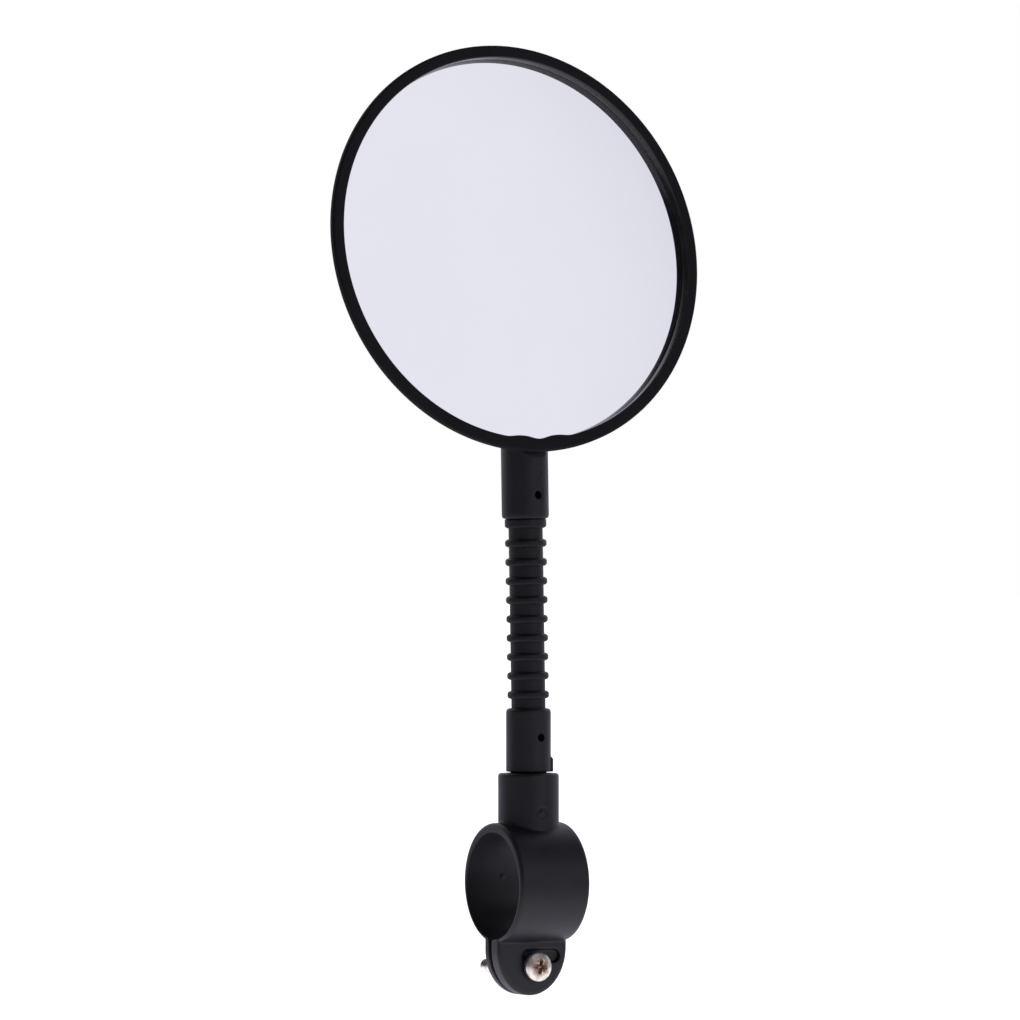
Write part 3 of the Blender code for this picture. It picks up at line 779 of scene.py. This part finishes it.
def make_screw(name, head_profile, seat, tip, matrix, cross_depth, material, body, node):
    """A screw with its head above its seat: a turned head, a threaded shank and a cross recess."""
    top = head_profile[0][1]
    profile = head_profile + [(M3_RADIUS - 2 * GAP, seat - GAP), (0.0, seat - GAP)]
    head = lathe(name, profile, matrix, MEDIUM)
    carve(head, "DIFFERENCE", cross_recess(top, cross_depth, matrix))
    step = M3_PITCH / 8
    rows = int((seat - tip - 2 * GAP) / step)
    shank = [(0.0, seat + GAP), (M3_RADIUS - 2 * GAP, seat + GAP)]
    shank += [(M3_RADIUS, seat - GAP - step * row) for row in range(rows)]
    shank += [(M3_RADIUS - M3_THREAD_DEPTH - GAP, tip), (0.0, tip)]
    carve(head, "UNION", [lathe("shank", shank, matrix, COARSE, thread_shift)])
    shade(head, material, 40.0)
    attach(head, body)
    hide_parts(node)


def make_clamp_screw():
    radius = (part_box("clamp_screw")[1][0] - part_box("clamp_screw")[0][0]) / 2
    seat = SCREW_TOP - PAN_HEAD_HEIGHT
    matrix = SCREW_PLACE @ Matrix.Rotation(CROSS_TURN, 4, "Z")
    head = rounded(
        [
            (0.0, SCREW_TOP, 0.0),
            (radius * PAN_CROWN_SHARE, SCREW_TOP - PAN_CROWN_DROP, PAN_CROWN_EDGE),
            (radius, SCREW_TOP - PAN_SIDE_DROP, PAN_SIDE_EDGE),
            (radius, seat, PAN_FOOT_EDGE),
            (M3_RADIUS, seat, 0.0),
        ]
    )
    name = "clamp_screw_zinc"
    make_screw(name, head, seat, SCREW_TIP, matrix, CLAMP_CROSS_DEPTH, ZINC, "clamp_screw", "clamp_screw")


def make_swivel_screw():
    """The head's top faces down into the bore, so heights along its axis are minus Z."""
    flip = Matrix.Rotation(math.radians(180.0), 4, "X")
    top, tip = -swivel_low[2], -swivel_high[2]
    radius = (swivel_high[0] - swivel_low[0]) / 2
    seat = top - SWIVEL_HEAD_HEIGHT
    head = rounded(
        [
            (0.0, top, 0.0),
            (radius, top, SWIVEL_TOP_EDGE),
            (radius, seat, SWIVEL_FOOT_EDGE),
            (M3_RADIUS, seat, 0.0),
        ]
    )
    name = "swivel_screw_zinc"
    make_screw(name, head, seat, tip, flip, SWIVEL_CROSS_DEPTH, SWIVEL_ZINC, "stem_base", "swivel_screw")


def make_clamp_nut():
    """Hexagon nut, chamfered on both faces, with a plain round hole for the screw."""
    low, high = span_along("clamp_nut", SCREW_PLACE)
    nut = prism("clamp_nut_zinc", NUT_FLATS, low, high, SCREW_PLACE)
    corner = NUT_FLATS / 2 / math.cos(math.pi / 6)
    bevel = corner - NUT_FLATS / 2
    cone = [
        (0.0, high),
        (NUT_FLATS / 2, high),
        (corner, high - bevel * 0.6),
        (corner, low + bevel * 0.6),
        (NUT_FLATS / 2, low),
        (0.0, low),
    ]
    carve(nut, "INTERSECT", [lathe("nut_chamfer", cone, SCREW_PLACE, MEDIUM)])
    carve(nut, "DIFFERENCE", [cylinder("nut_hole", M3_RADIUS + GAP, 2 * low, 0.0, SCREW_PLACE)])
    shade(nut, ZINC, 25.0)
    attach(nut, "clamp")
    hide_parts("clamp_nut")


# ---------------------------------------------------------------- stem


def collar_blank(bottom):
    """The collar above the socket, and the stub below it that turns in the socket."""
    stub = SOCKET_HOLE_RADIUS - GAP
    profile = rounded(
        [
            (0.0, COLLAR_TOP, 0.0),
            (COLLAR_RADIUS, COLLAR_TOP, COLLAR_EDGE),
            (COLLAR_RADIUS, bottom, COLLAR_FOOT_EDGE),
            (stub, bottom, 0.0),
            (stub, collar_low[2], STUB_EDGE),
            (0.0, collar_low[2], 0.0),
        ]
    )
    return lathe("stem_collar_moulding", profile)


def ridge_blank(bottom):
    """The small upright index ridge at the collar's foot."""
    place = Matrix.Translation(facing(RIDGE_TURN, COLLAR_RADIUS - RIDGE_SINK, 0.0))
    top = bottom + RIDGE_HEIGHT
    profile = rounded(
        [
            (0.0, top, 0.0),
            (RIDGE_RADIUS, top, RIDGE_TOP_EDGE),
            (RIDGE_RADIUS, bottom, RIDGE_FOOT_EDGE),
            (0.0, bottom, 0.0),
        ]
    )
    return lathe("ridge_blank", profile, place, COARSE)


def make_collar():
    bottom = SOCKET_TOP + GAP
    collar = collar_blank(bottom)
    carve(collar, "UNION", [ridge_blank(bottom)])
    hole_height = (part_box("collar_pin")[0][2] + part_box("collar_pin")[1][2]) / 2
    hole_place = radial(Matrix.Identity(4), PIN_HOLE_TURN, hole_height)
    cuts = [
        cylinder("stub_cut", M3_RADIUS + GAP, 0.0, swivel_high[2] + GAP),
        cylinder("sleeve_cut", SLEEVE_RADIUS + GAP, COLLAR_TOP - SLEEVE_END_DEPTH, 2 * COLLAR_TOP),
        cylinder("wire_cut", WIRE_HOLE_RADIUS, COLLAR_TOP - WIRE_END_DEPTH, 2 * COLLAR_TOP),
        cylinder("pin_cut", PIN_HOLE_RADIUS, 0.0, 2 * COLLAR_RADIUS, hole_place),
    ]
    carve(collar, "DIFFERENCE", cuts)
    mould(collar, COLLAR_VOXEL, 2)
    shade(collar, PLASTIC, 60.0)
    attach(collar, "stem_base")
    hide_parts("stem_collar")


def half_rib(side, fullness=RIB_FULLNESS, reach=RIB_HALF_HEIGHT):
    """Offsets (height, radius) from a rib's middle out to the plain sleeve, on one side.

    The crest has a short straight band, so that two lengths that meet there shade as one."""
    proud = RIB_RADIUS - SLEEVE_RADIUS
    points = [(0.0, RIB_RADIUS), (side * RIB_CREST, RIB_RADIUS)]
    steps = 14
    for step in range(1, steps + 1):
        share = math.sin(math.radians(90.0) * step / steps)
        height = RIB_CREST + (reach - RIB_CREST) * share
        points.append((side * height, SLEEVE_RADIUS + proud * (1.0 - share**fullness) ** 0.75))
    return points


def sleeve_outline(low, high, low_rib, high_rib):
    """Outer side of a length of sleeve from its top down, between heights above the collar.

    low_rib and high_rib are the half ribs at its ends, or empty where it is plain."""
    top_end = high_rib or [(0.0, SLEEVE_RADIUS)]
    foot_end = low_rib[::-1] or [(0.0, SLEEVE_RADIUS)]
    top = high + top_end[-1][0]
    bottom = low + foot_end[0][0]
    steps = max(4, round((top - bottom) / SLEEVE_OUTER_STEP))
    outline = [(radius, high + offset) for offset, radius in top_end]
    outline += [(SLEEVE_RADIUS, top + (bottom - top) * step / steps) for step in range(1, steps)]
    outline += [(radius, low + offset) for offset, radius in foot_end]
    return outline


def make_sleeve_length(name, low, high, low_rib, high_rib):
    outline = sleeve_outline(low, high, low_rib, high_rib)
    steps = max(6, round((high - low) / SLEEVE_INNER_STEP))
    inside = [(WIRE_HOLE_RADIUS, low + (high - low) * step / steps) for step in range(steps + 1)]
    piece = lathe(name, outline + inside, STEM, MEDIUM)
    return shade(piece, RUBBER, 50.0)


def make_sleeve():
    """The ribbed sleeve, in lengths that meet on the ribs' crests, each spanning one bend joint."""
    over, under = half_rib(1), half_rib(-1)
    foot = make_sleeve_length("sleeve_foot", GAP - SLEEVE_END_DEPTH, RIB_HEIGHTS[0], [], under)
    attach(foot, BENDS[0]["parent"])
    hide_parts("sleeve_segment_01")
    for i, joint in enumerate(BENDS):
        low, high = RIB_HEIGHTS[i], RIB_HEIGHTS[i + 1]
        piece = make_sleeve_length(f"sleeve_bend_{i + 1:02d}", low, high, over, under)
        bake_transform(piece)
        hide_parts(f"sleeve_segment_{i + 1:02d}", f"sleeve_segment_{i + 2:02d}")
    last = half_rib(1, LAST_RIB_FULLNESS, LAST_RIB_REACH)
    head = make_sleeve_length("sleeve_head", RIB_HEIGHTS[-1], SLEEVE_TOP, last, [])
    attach(head, BENDS[-1]["child"])
    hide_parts("sleeve_segment_10")


# ---------------------------------------------------------------- head


def lens_front(radius):
    return -LENS_RECESS + (LENS_RADIUS**2 - radius**2) / (2 * LENS_CURVE)


def make_lens():
    rings = 24
    radii = [LENS_RADIUS * ring / rings for ring in range(rings)]
    front = [(radius, lens_front(radius)) for radius in radii]
    front.append((LENS_RADIUS - LENS_BEVEL, lens_front(LENS_RADIUS - LENS_BEVEL)))
    front.append((LENS_RADIUS, lens_front(LENS_RADIUS) - LENS_BEVEL))
    back = [(LENS_RADIUS, lens_front(LENS_RADIUS) - LENS_THICKNESS)]
    back += [(radius, lens_front(radius) - LENS_THICKNESS) for radius in reversed(radii)]
    lens = lathe("convex_mirror_glass", front + back, HEAD)
    shade(lens, SILVER, 30.0)
    lens.data.materials.append(BACKING)
    outward = HEAD.to_3x3() @ Vector((0.0, 0.0, 1.0))
    for face in lens.data.polygons:
        face.material_index = 0 if face.normal.dot(outward) > 0.5 else 1
    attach(lens, "mirror_head")
    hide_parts("mirror_lens")


def smoothstep(value):
    value = min(1.0, max(0.0, value))
    return value * value * (3 - 2 * value)


def foot_tab(angle):
    """How far the two tabs at the bezel's foot stand in from its inner edge, with a notch between."""
    along_edge = abs(math.remainder(angle - math.radians(270.0), 2 * math.pi)) * WINDOW_RADIUS
    fall = smoothstep((along_edge - TAB_CREST) / TAB_FALL)
    return TAB_REACH * smoothstep(along_edge / TAB_RISE) * (1.0 - fall)


def polish_wall_and_paint_light(bezel):
    """Gives the faces that look inwards, over the mirror, the polished plastic, whose paler base colour is
    painted light on the wall.
    """
    bezel.data.materials.append(RIM_WALL_PAINTED_LIGHT)
    axis = HEAD.to_3x3() @ Vector((0.0, 0.0, 1.0))
    for face in bezel.data.polygons:
        outwards = face.center - HEAD.translation
        outwards -= axis * outwards.dot(axis)
        face.material_index = 1 if face.normal.dot(outwards.normalized()) < -0.3 else 0


def make_bezel():
    """Front ring over the lens's edge. Its inner edge carries the two tabs and the notch."""
    lip = -LENS_RECESS + BEZEL_LENS_GAP
    corners = [
        (WINDOW_RADIUS, 0.0, BEZEL_WINDOW_EDGE),
        (HEAD_RADIUS, 0.0, BEZEL_FRONT_EDGE),
        (HEAD_RADIUS, -BEZEL_SIDE, BEZEL_SIDE_EDGE),
        (SHELL_RADIUS, -BEZEL_DEPTH, BEZEL_BACK_EDGE),
        (LENS_RADIUS + 2 * BEZEL_LENS_GAP, -BEZEL_DEPTH, BEZEL_BACK_EDGE),
        (WINDOW_RADIUS, lip, BEZEL_BACK_EDGE),
    ]
    middle = (WINDOW_RADIUS + HEAD_RADIUS) / 2

    def shift(radius, height, angle):
        share = smoothstep((middle - radius) / (middle - WINDOW_RADIUS))
        return radius - foot_tab(angle) * share, height

    bezel = lathe("bezel_ring_moulding", rounded(corners, closed=True, steps=6), HEAD, 3 * FINE, shift)
    shade(bezel, RIM, 40.0)
    polish_wall_and_paint_light(bezel)
    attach(bezel, "mirror_head")
    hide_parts("bezel_ring")


def dome(radius, depth, rings, front):
    """Quarter ellipse from the rim at a front height down to the axis, as profile points."""
    points = []
    for ring in range(rings):
        angle = math.radians(90.0) * ring / rings
        points.append((radius * math.cos(angle), front - (depth + front) * math.sin(angle)))
    return points + [(0.0, -depth)]


def neck_blank():
    """The neck, with a round top inside the head and a small edge at its foot."""
    top = SLEEVE_TOP + NECK_LENGTH
    angles = [step / 10 for step in range(16)]
    profile = [(NECK_RADIUS * math.sin(a), top + NECK_RADIUS * (math.cos(a) - 1.0)) for a in angles]
    profile.append((NECK_RADIUS, NECK_BOTTOM + NECK_EDGE))
    profile.append((NECK_RADIUS - NECK_EDGE, NECK_BOTTOM))
    profile.append((0.0, NECK_BOTTOM))
    return lathe("neck_blank", profile, STEM)


def shell_cavity(front):
    """The room for the mirror and, under its seat, the hollow that follows the domed back."""
    wide = 2 * HEAD_RADIUS - SHELL_RADIUS
    profile = [
        (0.0, NECK_RADIUS),
        (wide, NECK_RADIUS),
        (wide, front),
        (LENS_RADIUS + GAP, front),
        (LENS_RADIUS + GAP, -SEAT_DEPTH),
    ]
    profile += dome(SEAT_RADIUS - SHELL_WALL, SHELL_DEPTH - SHELL_WALL, 16, -SEAT_DEPTH)
    return lathe("shell_cavity", profile, HEAD)


def foam_seat():
    """The ring that stands on the shell's floor and carries the foam tape."""
    top = lens_front(FOAM_OUTER) - LENS_THICKNESS - FOAM_THICKNESS - 2 * GAP
    floor = GAP - SHELL_DEPTH + SHELL_WALL / 2
    profile = [(FOAM_OUTER, top), (FOAM_OUTER, floor), (FOAM_INNER, floor), (FOAM_INNER, top)]
    return lathe("foam_seat", profile, HEAD)


def make_shell():
    front = -BEZEL_DEPTH - GAP
    shell = lathe("back_shell_moulding", [(0.0, front)] + dome(SHELL_RADIUS, SHELL_DEPTH, 32, front), HEAD)
    carve(shell, "UNION", [neck_blank()])
    pin = float((np.mean(cad_points("neck_pin"), axis=0) - np.array(STEM_FOOT)) @ np.array(STEM_UP))
    pin_place = radial(STEM, PIN_HOLE_TURN, pin)
    cuts = [
        cylinder("neck_sleeve_cut", SLEEVE_RADIUS + GAP, 0.0, NECK_BOTTOM + SLEEVE_END_DEPTH, STEM),
        cylinder("neck_wire_cut", WIRE_HOLE_RADIUS, 0.0, NECK_BOTTOM + WIRE_END_DEPTH, STEM),
        cylinder("neck_pin_cut", PIN_HOLE_RADIUS, 0.0, 2 * NECK_RADIUS, pin_place),
    ]
    carve(shell, "DIFFERENCE", cuts)
    mould(shell, SHELL_VOXEL, 4)
    carve(shell, "DIFFERENCE", [shell_cavity(front)])
    carve(shell, "UNION", [foam_seat()])
    mark = STEM @ facing(PIN_HOLE_TURN, NECK_RADIUS, pin + NECK_MARK_RISE)
    press(shell, mark, NECK_DISC)
    press(shell, mark, NECK_DOT)
    shade(shell, PLASTIC, 50.0)
    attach(shell, "mirror_head")
    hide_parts("back_shell")


def make_foam_ring():
    top_inner = lens_front(FOAM_INNER) - LENS_THICKNESS - GAP
    top_outer = lens_front(FOAM_OUTER) - LENS_THICKNESS - GAP
    corners = [
        (FOAM_OUTER, top_outer, FOAM_EDGE),
        (FOAM_OUTER, top_outer - FOAM_THICKNESS, FOAM_EDGE),
        (FOAM_INNER, top_outer - FOAM_THICKNESS, FOAM_EDGE),
        (FOAM_INNER, top_inner, FOAM_EDGE),
    ]
    ring = lathe("foam_tape_ring", rounded(corners, closed=True), HEAD)
    shade(ring, FOAM)
    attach(ring, "mirror_head")
    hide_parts("foam_ring")


def paint_kept_nodes():
    """The wire, the pins and the washer keep their CAD shapes and take real materials."""
    finishes = {
        "core_wire": STEEL,
        "collar_pin": BLACKENED,
        "neck_pin": BLACKENED,
        "swivel_washer": SWIVEL_ZINC,
    }
    for name, node in frame["nodes"].items():
        for start, material in finishes.items():
            if name.startswith(start):
                node.data.materials.clear()
                node.data.materials.append(material)


# ---------------------------------------------------------------- studio


def make_floor():
    """Plain pale floor at the clamp's foot: white to the camera, and glowing most under the clamp."""
    half = FLOOR_SIZE / 2
    corners = [(-half, -half), (half, -half), (half, half), (-half, half)]
    mesh = bpy.data.meshes.new("studio_floor")
    mesh.from_pydata([(x, y, EAR_BOTTOM) for x, y in corners], [], [(0, 1, 2, 3)])
    floor = link("studio_floor", mesh)
    material, nodes, links, shader = new_material("pale_floor", 0.9, 0.0, 0.0)
    shader.inputs["Base Color"].default_value = (0.8, 0.8, 0.8, 1.0)
    shader.inputs["Emission Color"].default_value = (*LIGHT_TINT, 1.0)
    distance = distance_from(nodes, links, (0.0, 0.0, 0.0))
    glow = spread(nodes, links, distance, FLOOR_LIGHT, FLOOR_FAR_LIGHT, *FLOOR_GLOW)
    path = nodes.new("ShaderNodeLightPath")
    strength = combine(nodes, links, "MAXIMUM", glow, path.outputs["Is Camera Ray"])
    links.new(strength, shader.inputs["Emission Strength"])
    mesh.materials.append(material)


def towards(nodes, links, direction, edge, low, high):
    """A value that rises from low to high as the sky direction nears a given one, by cosine."""
    place = nodes.new("ShaderNodeTexCoord")
    dot = nodes.new("ShaderNodeVectorMath")
    dot.operation = "DOT_PRODUCT"
    dot.inputs[1].default_value = direction.normalized()
    links.new(place.outputs["Generated"], dot.inputs[0])
    return spread(nodes, links, dot.outputs["Value"], low, high, *edge, "SMOOTHSTEP")


def make_world():
    """White backdrop to the camera. To the object: a soft panel that the mirror faces, a bright wall
    behind, and a dim room."""
    world = bpy.data.worlds.new("studio")
    bpy.context.scene.world = world
    world.use_nodes = True
    nodes, links = world.node_tree.nodes, world.node_tree.links
    nodes.clear()
    panel = towards(nodes, links, PANEL_DIRECTION, PANEL_EDGE, 0.0, PANEL_LIGHT)
    wall = towards(nodes, links, -camera_side(), WALL_EDGE, ROOM_LIGHT, WALL_LIGHT)
    light = nodes.new("ShaderNodeBackground")
    light.inputs["Color"].default_value = (*LIGHT_TINT, 1.0)
    links.new(combine(nodes, links, "MAXIMUM", panel, wall), light.inputs["Strength"])
    backdrop = nodes.new("ShaderNodeBackground")
    backdrop.inputs["Color"].default_value = (1.0, 1.0, 1.0, 1.0)
    path = nodes.new("ShaderNodeLightPath")
    mix = nodes.new("ShaderNodeMixShader")
    links.new(path.outputs["Is Camera Ray"], mix.inputs["Fac"])
    links.new(light.outputs["Background"], mix.inputs[1])
    links.new(backdrop.outputs["Background"], mix.inputs[2])
    out = nodes.new("ShaderNodeOutputWorld")
    links.new(mix.outputs["Shader"], out.inputs["Surface"])
    bpy.context.scene.view_settings.view_transform = "Standard"


def camera_side():
    """From the object towards the camera."""
    return Vector((math.sin(VIEW_AZIMUTH), -math.cos(VIEW_AZIMUTH), 0.0))


def make_camera():
    data = bpy.data.cameras.new("camera")
    data.sensor_width = SENSOR
    data.lens = SENSOR * CAMERA_DISTANCE / VIEW_WIDTH
    data.clip_start = 0.01
    camera = bpy.data.objects.new("camera", data)
    bpy.context.scene.collection.objects.link(camera)
    back = camera_side()
    right = Vector((math.cos(VIEW_AZIMUTH), math.sin(VIEW_AZIMUTH), 0.0))
    aim = Vector((0.0, 0.0, CAMERA_HEIGHT)) - right * CAMERA_LEFT
    camera.location = aim + back * CAMERA_DISTANCE
    camera.rotation_mode = "QUATERNION"
    camera.rotation_quaternion = (-back).to_track_quat("-Z", "Y")
    bpy.context.scene.camera = camera


make_camera()
make_world()
make_floor()
make_clamp_body()
make_clamp_screw()
make_clamp_nut()
make_swivel_screw()
make_collar()
make_sleeve()
make_lens()
make_bezel()
make_shell()
make_foam_ring()
paint_kept_nodes()
